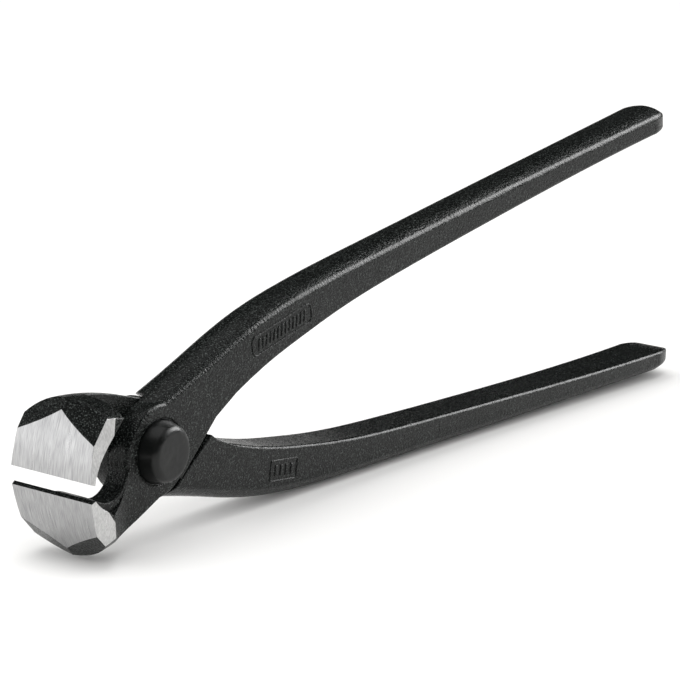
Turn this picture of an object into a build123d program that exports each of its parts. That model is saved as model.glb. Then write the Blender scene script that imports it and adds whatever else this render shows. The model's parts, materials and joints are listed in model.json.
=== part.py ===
from build123d import *

import os
from math import cos, radians, sin, sqrt

# End-cutting tower pincers: two forged levers crossed in a half-lap joint and held by one rivet.
# Lever outlines are drawn with the jaws shut, the pivot at (0, 0), X along the tool with the
# handles at +X, and Z up. The tool stands on edge: the pivot axis is Y, and the front is -Y.
# The front lever is the upper handle and the lower jaw. The rear lever is the same forging
# turned half a turn about the tool's X axis: the lower handle and the upper jaw. Millimetres.

# Pivot joint
BOSS_RADIUS = 11.0
HALF_THICKNESS = 5.5          # flank of the joint and of the handles, from the middle plane
LAP_GAP = 0.05                # between the two halves of the lap
SHANK_RADIUS = 5.0
RUNNING_CLEARANCE = 0.05      # radial, between the shank and the rear lever
POCKET_SHOULDER = 1.0         # X of the pocket's end on the handle's outer side
POCKET_CLEARANCE = 0.2        # around the boss that swings in each lever's pocket
RIM_RADIUS = 1.0              # rounding of the boss's front rim

# Rivet
HEAD_BASE_RADIUS = 7.4
HEAD_TOP_RADIUS = 6.2
HEAD_HEIGHT = 4.0             # above the flank
HEAD_ROUND = 1.7
TAIL_RADIUS = 6.8
TAIL_HEIGHT = 1.8             # peened end above the rear flank
SPOT_FACE_RADIUS = 7.8
SPOT_FACE_DEPTH = 0.4

# Opening of the jaws about the pivot, in degrees from shut
REST_OPENING = 6.8
FULL_OPENING = 20.0

# Pitch of the tool's long axis where the lower handle lies along the ground
STANCE_PITCH = 4.8

# Handle: (X, inner side, outer side) from inside the boss
HANDLE_SIDES = [
    (-6.0, 2.0, 8.8),
    (7.0, 0.5, 13.0),
    (20.0, 2.0, 16.1),
    (33.0, 6.0, 19.4),
    (50.0, 9.6, 21.8),
    (70.0, 12.5, 22.9),
    (95.0, 14.4, 23.5),
    (130.0, 16.1, 24.3),
    (175.0, 18.0, 25.1),
]
HANDLE_END_SIDES = (18.9, 25.7)
FRONT_HANDLE_END = 211.5      # X where the handle's end starts to round off
REAR_HANDLE_END = 216.0
HANDLE_DIVISIONS = 18
HANDLE_END_LENGTH = 9.0
HANDLE_END_TURNS = (0, 20, 40, 56, 70, 82)  # sections of the rounded end, in degrees around it
HANDLE_END_FULLNESS = 0.6     # 1 for an ellipse, less for a blunter end
HANDLE_END_LEAN = 0.5         # how far the rounded end leans to the inner side, 1 for all the way
HANDLE_TANGENT_ANGLE = -53.4  # where the inner edge's straight run leaves the boss
CROTCH = (20.1, 1.5)          # where that run meets the handle's inner side
FRONT_FALL = 2.0              # of the handle's arched outer side, from its middle to its flank
REAR_FALL = 3.0
SHOULDER_RADIUS = 1.3         # between the crown and the flank
INNER_EDGE_RADIUS = 0.7
FLANK_SKIN = 0.02             # taken off the flanks to leave them truly flat
WIDENING_START = 110.0
WIDENING_LENGTH = 110.0
FLANK_END_HALF_WIDTH = 6.9

# Jaw
JAW_HALF_WIDTH = 11.9
EDGE_X = -29.0                # the jaws meet here
LAND_FOOT = (-30.1, -0.4)     # front of the small land, where the ground face starts
FACE_MIDDLE = (-28.8, -8.2)
FACE_TIP = (-25.9, -16.0)
RIDGE = [                     # (X, Z, crown radius to the neck's side) of the head's outer side
    (-36, -16.0, 14.8),
    (-26, -16.6, 14.8),
    (-16, -15.7, 13.5),
    (-6, -13.2, 13.0),
    (4, -10.3, 13.0),
]
WING_CROWN_RADIUS = 24.0      # crown radius to the wing's side
FLARE_START = -23.5           # where the front flank leaves the jaw's side
FLARE_END = -11.5
BEVEL_CORNER = (-27.8, -9.5)  # bevel of the jaw's outer corner at its side
BEVEL_SLOPE = 1.33            # fall of the bevel per millimetre along X
BEVEL_RISE = 0.28             # and per millimetre across the jaw
NECK_HOLLOW = [(-27.0, -2.5), (-23.5, -5.3), (-18.7, -8.4), (-14.4, -6.5), (-12.1, -3.6), (-9.0, 1.5)]
WEB_HOLLOW = [(-26.0, -1.3), (-21.5, -4.2), (-17.0, -5.7), (-13.6, -4.3), (-11.6, -2.0), (-9.0, 1.5)]
WING_HOLLOW = [(-26.2, -6.0), (-22.0, -10.9), (-19.2, -14.0)]
GROUND_SIDE_DRAFT = 0.09      # narrowing of the ground side per millimetre away from the edge
GROUND_SIDE_TURN = 0.15       # and towards the front
GROUND_SIDE_START = 11.7      # half width at the cutting edge

FAR = 60.0                    # reach of cutting blocks beyond the solid


def on_boss(radius, degrees):
    """Point on a circle about the pivot."""
    return (radius * cos(radians(degrees)), radius * sin(radians(degrees)))


def plate(outline, y_start, y_end, taper=0):
    """Solid from one Y plane to another over an outline drawn in X and Z."""
    face = Plane.XZ * make_face(outline)
    return Pos(0, y_start, 0) * extrude(face, amount=y_start - y_end, taper=taper)


def polygon(points):
    """Edges of a closed polygon."""
    return Polyline(*points, close=True)


def turned(shape, degrees):
    """Shape turned about the pivot, handle end up."""
    return Rot(0, -degrees, 0) * shape


def other_side(shape):
    """Shape turned half a turn about the tool's long axis, as the second lever lies."""
    return Rot(180, 0, 0) * shape


def cylinder_between(radius, y_start, y_end):
    """Cylinder about the pivot axis."""
    return plate(Circle(radius).edges(), y_start, y_end)


def boss():
    """Front lever's half of the lap, with its rounded front rim."""
    profile = [
        Polyline(
            (BOSS_RADIUS, RIM_RADIUS - HALF_THICKNESS),
            (BOSS_RADIUS, -LAP_GAP / 2),
            (0, -LAP_GAP / 2),
            (0, -HALF_THICKNESS),
            (BOSS_RADIUS - RIM_RADIUS, -HALF_THICKNESS),
        ),
        RadiusArc(
            (BOSS_RADIUS - RIM_RADIUS, -HALF_THICKNESS),
            (BOSS_RADIUS, RIM_RADIUS - HALF_THICKNESS),
            -RIM_RADIUS,
        ),
    ]
    return revolve(make_face(profile), axis=Axis.Y)


def half_space(point, inward):
    """Block that fills everything behind a plane, whose normal points inward to what stays."""
    plane = Plane(origin=point, z_dir=inward)
    return plane * Box(2 * FAR, 2 * FAR, FAR, align=(Align.CENTER, Align.CENTER, Align.MAX))


def half_width_at(x):
    """Half width of the handle, which swells gently towards its end."""
    swell = max(0, x - WIDENING_START) / WIDENING_LENGTH
    return HALF_THICKNESS + FLANK_SKIN + (FLANK_END_HALF_WIDTH - HALF_THICKNESS) * swell**1.5


def handle_section(inner, outer, beyond=0, size=1):
    """Section across the handle: flat flanks, crisp inner edges and a domed outer side."""
    across = Vector(outer.X - inner.X, 0, outer.Y - inner.Y)
    along = Vector(across.Z, 0, -across.X).normalized()
    middle = Vector(inner.X, 0, inner.Y) + across / 2 * (1 - HANDLE_END_LEAN * (1 - size))
    half_width = half_width_at(middle.X) * size
    top = across.length / 2 * size
    front = (-half_width, top - FRONT_FALL * size)
    rear = (half_width, top - REAR_FALL * size)
    outline = [
        Polyline(front, (-half_width, -top), (half_width, -top), rear),
        TangentArc((0, top), rear, tangent=(1, 0)),
        TangentArc((0, top), front, tangent=(-1, 0)),
    ]
    section = make_face(outline)
    section = fillet(section.vertices().sort_by(Axis.Y)[:2], INNER_EDGE_RADIUS * size)
    on_flanks = section.vertices().filter_by(lambda corner: abs(corner.X) > half_width - FLANK_SKIN / 2)
    section = fillet(on_flanks.sort_by(Axis.Y)[-2:], SHOULDER_RADIUS * size)
    return Plane(origin=middle + along * beyond, x_dir=(0, 1, 0), z_dir=along) * section


def handle(end_x):
    """Handle at its full width, from inside the boss to its rounded end."""
    inner_side = Spline(*[(x, inner) for x, inner, outer in HANDLE_SIDES], (end_x, HANDLE_END_SIDES[0]))
    outer_side = Spline(*[(x, outer) for x, inner, outer in HANDLE_SIDES], (end_x, HANDLE_END_SIDES[1]))
    places = [number / HANDLE_DIVISIONS for number in range(HANDLE_DIVISIONS + 1)]
    bar = loft([handle_section(inner_side @ place, outer_side @ place) for place in places])
    turns = [radians(turn) for turn in HANDLE_END_TURNS]
    end = [(HANDLE_END_LENGTH * sin(turn), cos(turn) ** HANDLE_END_FULLNESS) for turn in turns]
    bar += loft([handle_section(inner_side @ 1, outer_side @ 1, beyond, size) for beyond, size in end])
    for side in (-1, 1):
        corner = (0, side * HALF_THICKNESS)
        beyond = Pos(*corner) * Rectangle(
            2 * WIDENING_START, FAR, align=(Align.CENTER, Align.MIN if side > 0 else Align.MAX)
        )
        bar -= extrude(beyond, amount=FAR, both=True)
    return bar + handle_root()


def handle_root():
    """Flat part between the boss and the handle, under the straight run of the inner edge."""
    foot = on_boss(BOSS_RADIUS, HANDLE_TANGENT_ANGLE)
    inside = (HANDLE_SIDES[3][0], HANDLE_SIDES[3][1] + 1)
    return plate(polygon([(0, 0), foot, CROTCH, inside]), HALF_THICKNESS, -HALF_THICKNESS)


def face_edges():
    """Front of the jaw: the small land at the cutting edge and the ground face."""
    return [
        Line((EDGE_X, 0), LAND_FOOT),
        ThreePointArc(LAND_FOOT, FACE_MIDDLE, FACE_TIP),
    ]


def neck_outline(hollow):
    """Side view of the jaw and its neck, behind a given hollow."""
    behind = (RIDGE[-1][0], 0)
    return face_edges() + [
        Polyline(FACE_TIP, (FACE_TIP[0], -FAR / 2), (behind[0], -FAR / 2), behind, hollow[-1]),
        Spline((EDGE_X, 0), *hollow),
    ]


def neck_side():
    """Front half of the head: the jaw and the neck that carries it from the boss."""
    flare_start = (FLARE_START, -JAW_HALF_WIDTH)
    flare_end = (FLARE_END, -HALF_THICKNESS)
    seen_from_above = [
        TangentArc(flare_end, flare_start, tangent=(-1, 0)),
        Polyline(flare_start, (-FAR, -JAW_HALF_WIDTH), (-FAR, 0), (FAR, 0), (FAR, -HALF_THICKNESS), flare_end),
    ]
    flare = extrude(make_face(seen_from_above), amount=FAR, both=True)
    side = plate(neck_outline(NECK_HOLLOW), -LAP_GAP / 2, -JAW_HALF_WIDTH)
    web = plate(neck_outline(WEB_HOLLOW), -LAP_GAP / 2, -HALF_THICKNESS)
    return (side + web) & flare


def wing_side():
    """Rear half of the jaw, which reaches across behind the other lever's boss."""
    outline = face_edges() + [
        Polyline(FACE_TIP, (FACE_TIP[0], -FAR / 2), (WING_HOLLOW[-1][0], -FAR / 2), WING_HOLLOW[-1]),
        Spline((EDGE_X, 0), *WING_HOLLOW),
    ]
    return plate(outline, -LAP_GAP / 2, JAW_HALF_WIDTH)


def crown():
    """Everything inside the head's outer side, which is arched across the jaw."""
    half_width = JAW_HALF_WIDTH + 1
    sections = []
    for x, ridge, neck_radius in RIDGE:
        neck_rim = (-half_width, ridge + neck_radius - sqrt(neck_radius**2 - half_width**2))
        wing_rim = (half_width, ridge + WING_CROWN_RADIUS - sqrt(WING_CROWN_RADIUS**2 - half_width**2))
        outline = [
            TangentArc((0, ridge), neck_rim, tangent=(-1, 0)),
            TangentArc((0, ridge), wing_rim, tangent=(1, 0)),
            Polyline(wing_rim, (half_width, FAR / 4), (-half_width, FAR / 4), neck_rim),
        ]
        sections.append(Plane.YZ.offset(x) * make_face(outline))
    return loft(sections)


def head():
    """Lower jaw with its neck, its bevelled corners and its ground sides."""
    solid = (neck_side() + wing_side()) & crown()
    for side in (-1, 1):
        corner = (BEVEL_CORNER[0], side * JAW_HALF_WIDTH, BEVEL_CORNER[1])
        solid -= half_space(corner, (BEVEL_SLOPE, -side * BEVEL_RISE, 1))
        edge_end = (EDGE_X, side * GROUND_SIDE_START, 0)
        solid -= half_space(edge_end, (GROUND_SIDE_TURN, -side, GROUND_SIDE_DRAFT))
    return solid


def pocket():
    """Space that the other lever's half of the lap needs, from shut to fully open."""
    radius = BOSS_RADIUS + POCKET_CLEARANCE
    y_low = -LAP_GAP / 2
    foot = on_boss(radius, -HANDLE_TANGENT_ANGLE)
    heel = (CROTCH[0] + POCKET_CLEARANCE, -CROTCH[1])
    neck = [(x, -ridge + POCKET_CLEARANCE) for x, ridge, neck_radius in RIDGE[-1:0:-1]]
    space = cylinder_between(radius, FAR, y_low)
    space += plate(polygon([(0, 0), foot, heel, (heel[0], -FAR), (0, -FAR)]), FAR, y_low)
    space += plate(polygon([(0, 0), (POCKET_SHOULDER, 0), (POCKET_SHOULDER, FAR), (0, FAR)]), FAR, y_low)
    swung_neck = plate(polygon(neck + [(0, 0)]), FAR, y_low)
    space += turned(swung_neck, -FULL_OPENING)
    return space


def lever(bore_radius, handle_end):
    """The forging, as the front lever lies with the jaws shut."""
    solid = handle(handle_end) - pocket()
    solid += boss()
    solid += head()
    solid -= cylinder_between(bore_radius, FAR, -FAR)
    solid -= cylinder_between(SPOT_FACE_RADIUS, -HALF_THICKNESS + SPOT_FACE_DEPTH, -FAR)
    return solid


def rivet():
    """Rivet with its formed head in front and its peened tail behind."""
    seat = HALF_THICKNESS - SPOT_FACE_DEPTH
    tail_seat = seat + LAP_GAP
    points = [
        (0, -HALF_THICKNESS - HEAD_HEIGHT),
        (HEAD_TOP_RADIUS, -HALF_THICKNESS - HEAD_HEIGHT),
        (HEAD_BASE_RADIUS, -seat),
        (SHANK_RADIUS, -seat),
        (SHANK_RADIUS, tail_seat),
        (TAIL_RADIUS, tail_seat),
        (TAIL_RADIUS - 1, tail_seat + TAIL_HEIGHT),
        (0, tail_seat + TAIL_HEIGHT),
    ]
    profile = make_face(polygon(points))
    for corner in (points[1], points[6]):
        nearest = profile.vertices().sort_by_distance((*corner, 0))[0]
        profile = fillet(nearest, HEAD_ROUND)
    return revolve(profile, axis=Axis.Y)


def assembly():
    """All the pieces, opened to rest and set on the ground."""
    half_opening = REST_OPENING / 2
    rear = lever(SHANK_RADIUS + RUNNING_CLEARANCE, REAR_HANDLE_END)
    pieces = {
        "front_lever": turned(lever(SHANK_RADIUS, FRONT_HANDLE_END), half_opening),
        "rear_lever": turned(other_side(rear), -half_opening),
        "pivot_rivet": turned(rivet(), half_opening),
    }
    pieces = {name: turned(piece, STANCE_PITCH) for name, piece in pieces.items()}
    boxes = [piece.bounding_box() for piece in pieces.values()]
    middle_x = (min(box.min.X for box in boxes) + max(box.max.X for box in boxes)) / 2
    to_origin = Pos(-middle_x, 0, -min(box.min.Z for box in boxes))
    pieces = {name: to_origin * piece for name, piece in pieces.items()}
    return pieces, to_origin.position


if __name__ == "__main__":
    os.makedirs("parts", exist_ok=True)
    pieces, pivot = assembly()
    for name, piece in pieces.items():
        export_step(piece.solid(), f"parts/{name}.step")
    print("pivot at", pivot)
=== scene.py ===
import json
from math import cos, pi, radians, sin

import bmesh
import bpy
from mathutils import Matrix, Vector


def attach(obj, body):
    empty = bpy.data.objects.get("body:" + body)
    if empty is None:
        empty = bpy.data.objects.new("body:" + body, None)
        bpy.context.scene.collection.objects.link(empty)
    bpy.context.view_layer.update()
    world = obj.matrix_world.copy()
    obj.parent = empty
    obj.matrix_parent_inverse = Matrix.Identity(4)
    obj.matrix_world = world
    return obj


# End-cutting tower pincers, standing on edge on a white table. Metres and degrees.
# Places on a lever are in millimetres from the pivot as the lever lies with the jaws shut: X
# towards its handle end and Z outwards from the tool's axis on the handle's side.

MM = 0.001
REST_OPENING = 6.8
STANCE_PITCH = 4.8

# Camera, in the frame of the tool as it was measured: the pivot at the origin
CAMERA_PLACE = Vector((-0.4838, -0.4131, 0.2113))
CAMERA_AZIMUTH = -53.5
CAMERA_ELEVATION = 16.37
CAMERA_TURN = 3.91            # from that frame to the standing tool, about the pivot
FIELD_RATIO = 3000 / 680      # focal length over image width
SENSOR_WIDTH = 36.0

BLACK_STEEL = (0.003, 0.0036, 0.0033)
PALE_SPECK = (0.065, 0.073, 0.069)
BROAD_SCRATCHES = 0.16        # scale of the broad scratches over that of the fine ones

# Studio. Even light falls on everything, but a mirrored ray meets a dark room with one card.
ROOM_LIGHT = 1.08
ROOM_REFLECTION = 0.012       # the dark room's strength
RIM_CARD = (0.77, -0.375, 0.513)  # from the tool: towards the handle ends, forwards and up
RIM_CARD_LIGHT = 13.0
RIM_CARD_RADIUS = 17          # angle from the card's middle to where it starts to fade
RIM_CARD_FADE = 7             # further angle over which it fades into the dark room
FLOOR_SIZE = 6
LAMP_AIM = Vector((0, 0, 0.03))

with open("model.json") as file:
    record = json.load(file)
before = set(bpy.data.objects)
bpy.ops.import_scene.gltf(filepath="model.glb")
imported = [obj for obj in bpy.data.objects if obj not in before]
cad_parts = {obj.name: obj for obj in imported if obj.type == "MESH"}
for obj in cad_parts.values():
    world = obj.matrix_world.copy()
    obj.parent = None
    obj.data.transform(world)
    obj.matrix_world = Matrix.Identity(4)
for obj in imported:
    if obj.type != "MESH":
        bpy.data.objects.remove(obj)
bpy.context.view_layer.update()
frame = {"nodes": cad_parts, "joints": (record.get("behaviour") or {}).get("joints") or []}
PIVOT = Vector(frame["joints"][0]["pos_m"])


def pitch(degrees):
    """Turn about the pivot axis that lifts the handle end."""
    return Matrix.Rotation(radians(-degrees), 4, "Y")


# From a lever's own measure, jaws shut, to the row frame. The rear lever is turned over.
LEVER_PLACE = {
    "front_lever": Matrix.Translation(PIVOT) @ pitch(STANCE_PITCH + REST_OPENING / 2),
    "rear_lever": Matrix.Translation(PIVOT)
    @ pitch(STANCE_PITCH - REST_OPENING / 2)
    @ Matrix.Rotation(radians(180), 4, "X"),
}


# ---------------------------------------------------------------- materials


class Shader:
    """A node material that is built a node at a time."""

    def __init__(self, name):
        self.material = bpy.data.materials.new(name)
        self.material.use_nodes = True
        self.tree = self.material.node_tree
        self.surface = self.tree.nodes["Principled BSDF"]
        self.place = self.add("ShaderNodeTexCoord").outputs["Object"]

    def add(self, kind, **settings):
        node = self.tree.nodes.new(kind)
        for name, value in settings.items():
            setattr(node, name, value)
        return node

    def link(self, start, end):
        self.tree.links.new(start, end)

    def plain(self, **values):
        for name, value in values.items():
            self.surface.inputs[name.replace("_", " ")].default_value = value

    def stretched(self, scale):
        mapping = self.add("ShaderNodeMapping")
        mapping.inputs["Scale"].default_value = scale
        self.link(self.place, mapping.inputs["Vector"])
        return mapping.outputs["Vector"]

    def noise(self, grain_mm=None, detail=2.0, vector=None, roughness=0.5):
        """Noise of a grain size, or of the scale that a stretched vector already has."""
        texture = self.add("ShaderNodeTexNoise")
        texture.inputs["Scale"].default_value = 1 / (grain_mm * MM) if vector is None else 1.0
        texture.inputs["Detail"].default_value = detail
        texture.inputs["Roughness"].default_value = roughness
        self.link(self.place if vector is None else vector, texture.inputs["Vector"])
        return texture.outputs["Fac"]

    def ramp(self, value, low, high, start=0.0, end=1.0):
        """The value's stretch from low to high, spread from start to end."""
        spread = self.add("ShaderNodeMapRange", clamp=True)
        for name, number in zip(("From Min", "From Max", "To Min", "To Max"), (low, high, start, end)):
            spread.inputs[name].default_value = number
        self.link(value, spread.inputs["Value"])
        return spread.outputs["Result"]

    def mixed(self, factor, first, second):
        mix = self.add("ShaderNodeMix", data_type="RGBA")
        mix.inputs["A"].default_value = (*first, 1)
        mix.inputs["B"].default_value = (*second, 1)
        self.link(factor, mix.inputs["Factor"])
        return mix.outputs["Result"]

    def bumps(self, layers, edge_mm):
        """Bump layers, each a height output and its depth in millimetres, over rounded edges."""
        bevel = self.add("ShaderNodeBevel", samples=6)
        bevel.inputs["Radius"].default_value = edge_mm * MM
        normal = bevel.outputs["Normal"]
        for height, depth in layers:
            bump = self.add("ShaderNodeBump")
            bump.inputs["Distance"].default_value = depth * MM
            self.link(height, bump.inputs["Height"])
            self.link(normal, bump.inputs["Normal"])
            normal = bump.outputs["Normal"]
        self.link(normal, self.surface.inputs["Normal"])


def black_forging():
    """Blasted and blackened steel: near black, with a fine grain and pale specks."""
    shader = Shader("black_forging")
    grain = shader.noise(0.6, detail=2.0, roughness=0.6)
    waves = shader.noise(7.0, detail=2.0)
    specks = shader.ramp(shader.noise(0.33, detail=2.0), 0.55, 0.7)
    roughness = shader.ramp(grain, 0.35, 0.65, start=0.22, end=0.32)
    shader.link(shader.mixed(specks, BLACK_STEEL, PALE_SPECK), shader.surface.inputs["Base Color"])
    shader.link(roughness, shader.surface.inputs["Roughness"])
    shader.plain(Specular_IOR_Level=0.18)
    shader.bumps([(grain, 0.14), (waves, 0.15)], edge_mm=0.6)
    return shader.material


def satin_rivet():
    """Satin black steel, with a slow unevenness from the riveting."""
    shader = Shader("satin_black_rivet")
    grain = shader.noise(0.5, detail=2.0)
    waves = shader.noise(5.0, detail=2.0)
    shader.plain(Base_Color=(0.004, 0.0046, 0.0043, 1), Specular_IOR_Level=0.3)
    shader.link(shader.ramp(grain, 0.3, 0.7, start=0.3, end=0.4), shader.surface.inputs["Roughness"])
    shader.bumps([(grain, 0.012), (waves, 0.35)], edge_mm=0.3)
    return shader.material


def ground_steel(name, across, dark, light):
    """Bright steel with the fine parallel scratches of the grinding wheel.

    across is the scratches' scale on each axis, and dark and light are the greys between them.
    """
    shader = Shader(name)
    fine = shader.noise(detail=3.0, vector=shader.stretched(across))
    broad_scale = [BROAD_SCRATCHES * value for value in across]
    broad = shader.noise(detail=2.0, vector=shader.stretched(broad_scale))
    colour = shader.mixed(shader.ramp(fine, 0.3, 0.7), dark, light)
    shader.link(colour, shader.surface.inputs["Base Color"])
    shader.link(shader.ramp(broad, 0.3, 0.7, start=0.26, end=0.4), shader.surface.inputs["Roughness"])
    shader.plain(Metallic=1.0)
    shader.bumps([(fine, 0.006), (broad, 0.01)], edge_mm=0.15)
    return shader.material


BLACK = black_forging()
RIVET = satin_rivet()
GROUND_FACE = ground_steel(
    "ground_face", across=(300, 6500, 300), dark=(0.26, 0.26, 0.265), light=(0.46, 0.46, 0.46)
)
GROUND_SIDE = ground_steel(
    "ground_side", across=(4500, 300, 1500), dark=(0.42, 0.42, 0.42), light=(0.6, 0.6, 0.595)
)


# ---------------------------------------------------------------- levers and rivet

# What tells the ground surfaces apart, on a lever with the jaws shut
JAW_START = -22               # they all lie beyond this X
FACE_FORWARD = 0.86           # least part of a ground front's normal along -X
FACE_TOP = -0.3               # the front starts below this Z, under the land at the edge
SIDE_OUTWARD = 0.97           # least part of a ground side's normal along Y
SIDE_LEAN = 0.1               # least part of it along X, which the plain sides lack


def finish_of(name, polygon):
    """Which of the lever's materials a face takes: 0 black, 1 ground front, 2 ground side."""
    to_lever = LEVER_PLACE[name].inverted()
    centre = to_lever @ polygon.center / MM
    normal = to_lever.to_3x3() @ polygon.normal
    if centre.x >= JAW_START:
        return 0
    if normal.x < -FACE_FORWARD and centre.z < FACE_TOP:
        return 1
    if abs(normal.y) > SIDE_OUTWARD and abs(normal.x) > SIDE_LEAN:
        return 2
    return 0


for name in LEVER_PLACE:
    lever = frame["nodes"][name]
    lever.data.materials.clear()
    for material in (BLACK, GROUND_FACE, GROUND_SIDE):
        lever.data.materials.append(material)
    for polygon in lever.data.polygons:
        polygon.material_index = finish_of(name, polygon)

rivet = frame["nodes"]["pivot_rivet"]
rivet.data.materials.clear()
rivet.data.materials.append(RIVET)


# ---------------------------------------------------------------- forged marks

FLANK = 5.5                   # from the middle plane to either flank
MARK_HEIGHT = 0.16            # the marks' lines stand this proud of the flank
MARK_ROOT = 0.1               # and reach this far into it
CAPSULE_PITCH = 1.45          # from one rib of the capsule to the next
CORNER_STEPS = 6


def rounded_rectangle(length, height, corner):
    """Points around a rectangle with round corners, about its middle."""
    points = []
    for quarter, (along, up) in enumerate([(1, 1), (-1, 1), (-1, -1), (1, -1)]):
        middle = Vector((along * (length / 2 - corner), up * (height / 2 - corner)))
        for step in range(CORNER_STEPS + 1):
            angle = (quarter + step / CORNER_STEPS) * pi / 2
            points.append(middle + corner * Vector((cos(angle), sin(angle))))
    return points


def add_ring(mesh, outer, inner):
    """Flat closed ring between two loops of points, from the mark's root to its top."""
    edges = ((outer, -MARK_ROOT), (outer, MARK_HEIGHT), (inner, MARK_HEIGHT), (inner, -MARK_ROOT))
    layers = [[mesh.verts.new((point.x, level, point.y)) for point in loop] for loop, level in edges]
    for layer, following in zip(layers, layers[1:] + layers[:1]):
        for index in range(len(layer)):
            after = (index + 1) % len(layer)
            mesh.faces.new((layer[index], layer[after], following[after], following[index]))


def add_bar(mesh, x, height, width, slant):
    """Straight line across a mark, leaning by slant millimetres at its top."""
    corners = [(side * width / 2, end * height / 2) for side, end in ((-1, -1), (1, -1), (1, 1), (-1, 1))]
    rings = [
        [mesh.verts.new((x + along + slant * up / height, level, up)) for along, up in corners]
        for level in (-MARK_ROOT, MARK_HEIGHT)
    ]
    mesh.faces.new(rings[0])
    mesh.faces.new(reversed(rings[1]))
    for index in range(4):
        after = (index + 1) % 4
        mesh.faces.new((rings[0][index], rings[1][index], rings[1][after], rings[0][after]))


def forged_mark(name, lever, side, centre, tilt, shape):
    """Mark on a lever's flank, on the side of the lever's own Y that is given as -1 or 1."""
    mesh = bmesh.new()
    shape(mesh)
    bmesh.ops.recalc_face_normals(mesh, faces=mesh.faces)
    data = bpy.data.meshes.new(name)
    mesh.to_mesh(data)
    mesh.free()
    mark = bpy.data.objects.new(name, data)
    bpy.context.scene.collection.objects.link(mark)
    in_lever = Matrix.Translation((centre[0] * MM, side * FLANK * MM, centre[1] * MM))
    in_lever @= Matrix.Rotation(radians(-tilt), 4, "Y") @ Matrix.Diagonal((MM, side * MM, MM, 1))
    data.transform(LEVER_PLACE[lever] @ in_lever)
    if side < 0:
        data.flip_normals()
    data.materials.append(BLACK)
    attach(mark, lever)


def ribbed_capsule(mesh):
    """Outlined capsule with a row of leaning ribs."""
    add_ring(mesh, rounded_rectangle(23, 5.0, 1.6), rounded_rectangle(22.3, 4.3, 1.3))
    for place in range(-6, 7):
        add_bar(mesh, place * CAPSULE_PITCH, height=2.7, width=0.55, slant=0.7)


def barred_box(mesh):
    """Outlined box with four upright bars."""
    add_ring(mesh, rounded_rectangle(10.5, 5.2, 0.5), rounded_rectangle(9.9, 4.6, 0.3))
    for place in (-3, -1, 1, 3):
        add_bar(mesh, place, height=2.6, width=0.8, slant=0)


forged_mark("flank_capsule", "front_lever", -1, centre=(45.8, 14.4), tilt=5.5, shape=ribbed_capsule)
forged_mark("flank_box", "rear_lever", 1, centre=(45.5, 14.4), tilt=7.0, shape=barred_box)


# ---------------------------------------------------------------- studio


def floor():
    bpy.ops.mesh.primitive_plane_add(size=FLOOR_SIZE)
    plane = bpy.context.object
    plane.name = "floor"
    shader = Shader("floor")
    shader.plain(Base_Color=(0.9, 0.895, 0.885, 1), Roughness=0.9, Specular_IOR_Level=0.0)
    plane.data.materials.append(shader.material)


def softbox(name, direction, distance, size, power):
    """Rectangular light that faces the tool from a direction."""
    data = bpy.data.lights.new(name, "AREA")
    data.shape = "RECTANGLE"
    data.size, data.size_y = size
    data.energy = power
    light = bpy.data.objects.new(name, data)
    bpy.context.scene.collection.objects.link(light)
    direction = Vector(direction).normalized()
    light.location = LAMP_AIM + direction * distance
    light.rotation_euler = direction.to_track_quat("Z", "Y").to_euler()


def backdrop():
    """The even room, and the dark room with the rim card that mirrored rays meet instead."""
    world = bpy.data.worlds.new("studio")
    bpy.context.scene.world = world
    world.use_nodes = True
    tree = world.node_tree
    room = tree.nodes["Background"]
    room.inputs["Strength"].default_value = ROOM_LIGHT
    dark_room = tree.nodes.new("ShaderNodeBackground")
    for background in (room, dark_room):
        background.inputs["Color"].default_value = (1, 1, 1, 1)
    rays = tree.nodes.new("ShaderNodeLightPath")
    mix = tree.nodes.new("ShaderNodeMixShader")
    tree.links.new(rays.outputs["Is Glossy Ray"], mix.inputs["Fac"])
    tree.links.new(room.outputs["Background"], mix.inputs[1])
    tree.links.new(dark_room.outputs["Background"], mix.inputs[2])
    place = tree.nodes.new("ShaderNodeTexCoord")
    towards = tree.nodes.new("ShaderNodeVectorMath")
    towards.operation = "DOT_PRODUCT"
    towards.inputs[1].default_value = Vector(RIM_CARD).normalized()
    tree.links.new(place.outputs["Generated"], towards.inputs[0])
    card = tree.nodes.new("ShaderNodeMapRange")
    card.interpolation_type = "SMOOTHSTEP"
    card.inputs["From Min"].default_value = cos(radians(RIM_CARD_RADIUS + RIM_CARD_FADE))
    card.inputs["From Max"].default_value = cos(radians(RIM_CARD_RADIUS))
    card.inputs["To Min"].default_value = ROOM_REFLECTION
    card.inputs["To Max"].default_value = RIM_CARD_LIGHT
    tree.links.new(towards.outputs["Value"], card.inputs["Value"])
    tree.links.new(card.outputs["Result"], dark_room.inputs["Strength"])
    tree.links.new(mix.outputs["Shader"], tree.nodes["World Output"].inputs["Surface"])


def camera():
    data = bpy.data.cameras.new("camera")
    data.sensor_width = SENSOR_WIDTH
    data.lens = SENSOR_WIDTH * FIELD_RATIO
    data.clip_start = 0.01
    data.clip_end = 20
    seen_by = bpy.data.objects.new("camera", data)
    bpy.context.scene.collection.objects.link(seen_by)
    azimuth = Matrix.Rotation(radians(CAMERA_AZIMUTH), 4, "Z")
    elevation = Matrix.Rotation(radians(90 - CAMERA_ELEVATION), 4, "X")
    measured = Matrix.Translation(CAMERA_PLACE) @ azimuth @ elevation
    seen_by.matrix_world = Matrix.Translation(PIVOT) @ pitch(CAMERA_TURN) @ measured
    bpy.context.scene.camera = seen_by


floor()
backdrop()
softbox("overhead", direction=(-0.15, 0.1, 1), distance=0.9, size=(0.9, 0.7), power=2.6)
softbox("left_card", direction=(-0.85, 0.6, 0.2), distance=0.8, size=(0.7, 0.5), power=2.2)
camera()
bpy.context.scene.view_settings.view_transform = "Standard"
